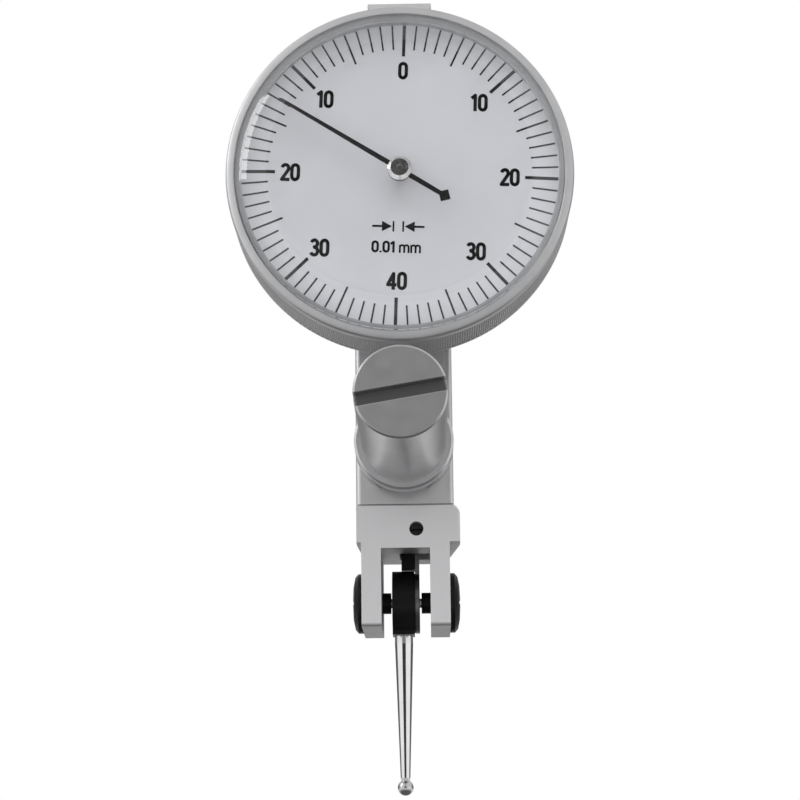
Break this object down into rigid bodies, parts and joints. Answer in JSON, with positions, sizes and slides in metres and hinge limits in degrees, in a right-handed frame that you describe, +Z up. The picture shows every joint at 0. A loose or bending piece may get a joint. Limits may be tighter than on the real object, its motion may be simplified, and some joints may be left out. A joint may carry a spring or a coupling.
{
  "type": "dial test indicator",
  "caption": "Lever-type dial test indicator: pivoted stylus in a fork, geared pointer under a turning bezel, narrow body and a slotted stem on a dovetail claw.",
  "frame": {"origin": "on the stem's axis, at the shoulder where the stem leaves its dovetail claw", "axes": "+Z up from the stylus towards the dial, -Y out of the dial towards the reader and along the stem, +X to the right"},
  "size_m": [0.032, 0.0386, 0.0773],
  "materials": {
    "case_steel": "satin ground and chrome-plated steel",
    "cover_steel": "satin plate",
    "bezel_chrome": "satin chrome with a fine knurl",
    "crystal_clear": "clear polished window",
    "gasket_plastic": "thin seal",
    "dial_paint": "matt light grey print ground",
    "ring_brass": "turned brass",
    "gear_brass": "cut and polished brass",
    "arbor_steel": "polished hardened steel",
    "jewel_ruby": "polished synthetic ruby",
    "spring_steel": "blued spring steel",
    "pointer_black": "black enamel",
    "hub_steel": "turned steel",
    "screw_steel": "machined steel",
    "black_oxide": "black oxide",
    "fork_steel": "light satin chrome",
    "stylus_chrome": "polished",
    "ball_carbide": "polished carbide",
    "stem_steel": "ground steel, darker than the body",
    "lever_steel": "dark hardened steel plate"
  },
  "bodies": {
    "case": {"body_frame": "case_steel", "side_cover": "cover_steel", "side_cover_screws": "screw_steel", "dial_base": "case_steel", "dial_base_screws": "screw_steel", "bezel_wire": "spring_steel", "centre_bush": "ring_brass", "pointer_jewels": "jewel_ruby", "crown_jewels": "jewel_ruby", "pinion_bridge": "gear_brass", "pinion_bridge_screw": "screw_steel", "crown_bridge": "gear_brass", "crown_bridge_screws": "screw_steel", "hairspring_stud": "gear_brass", "pivot_fork": "fork_steel", "fork_screws": "screw_steel", "lever_stop_screw": "black_oxide", "pivot_screw_left": "black_oxide", "pivot_screw_right": "black_oxide", "return_spring": "spring_steel"},
    "bezel": {"bezel_ring": "bezel_chrome", "crystal": "crystal_clear", "crystal_gasket": "gasket_plastic", "dial_plate": "dial_paint", "dial_retaining_ring": "ring_brass"},
    "pointer_shaft": {"pointer": "pointer_black", "pointer_hub": "hub_steel", "pointer_arbor": "arbor_steel", "centre_pinion": "arbor_steel"},
    "crown_shaft": {"crown_wheel": "gear_brass", "crown_pinion": "arbor_steel", "crown_arbor": "arbor_steel", "hairspring": "spring_steel", "hairspring_collet": "gear_brass"},
    "lever": {"lever_arm": "lever_steel", "lever_neck": "black_oxide", "sector_gear": "gear_brass", "sector_rivets": "screw_steel", "lever_axle": "arbor_steel"},
    "contact_arm": {"stylus_holder": "black_oxide", "stylus": "stylus_chrome", "contact_ball": "ball_carbide", "clutch_washer": "spring_steel"},
    "claw": {"dovetail_claw": "case_steel"},
    "stem_screw": {"stem": "stem_steel"}
  },
  "joints": [
    {"name": "bezel_turn", "type": "hinge", "parent": "case", "child": "bezel", "pos_m": [0, 0, 0.0236], "axis": [0, -1, 0], "continuous": true},
    {"name": "lever_swing", "type": "hinge", "parent": "case", "child": "lever", "pos_m": [0, 0.0093, -0.0142], "axis": [1, 0, 0], "range_deg": [-1.38, 1.38], "stiffness_Nm_per_rad": 0.2, "deforming": ["return_spring"]},
    {"name": "crown_spin", "type": "hinge", "parent": "case", "child": "crown_shaft", "pos_m": [0, 0.0093, 0.0236], "axis": [1, 0, 0], "range_deg": [-45, 45], "deforming": ["hairspring"]},
    {"name": "pointer_spin", "type": "hinge", "parent": "case", "child": "pointer_shaft", "pos_m": [0, 0, 0.0236], "axis": [0, 1, 0], "range_deg": [-190, 190]},
    {"name": "stylus_set", "type": "hinge", "parent": "lever", "child": "contact_arm", "pos_m": [0, 0.0093, -0.0142], "axis": [1, 0, 0], "range_deg": [-105, 105]},
    {"name": "claw_slide", "type": "slide", "parent": "case", "child": "claw", "axis": [0, 0, 1], "range_m": [-0.002, 0.0025]},
    {"name": "stem_turn", "type": "hinge", "parent": "claw", "child": "stem_screw", "pos_m": [0, 0, 0], "axis": [0, 1, 0], "range_deg": [-180, 0]}
  ],
  "couplings": [
    {"joint": "crown_spin", "follows": "lever_swing", "ratio": -32.158},
    {"joint": "pointer_spin", "follows": "lever_swing", "ratio": 136.67}
  ]
}
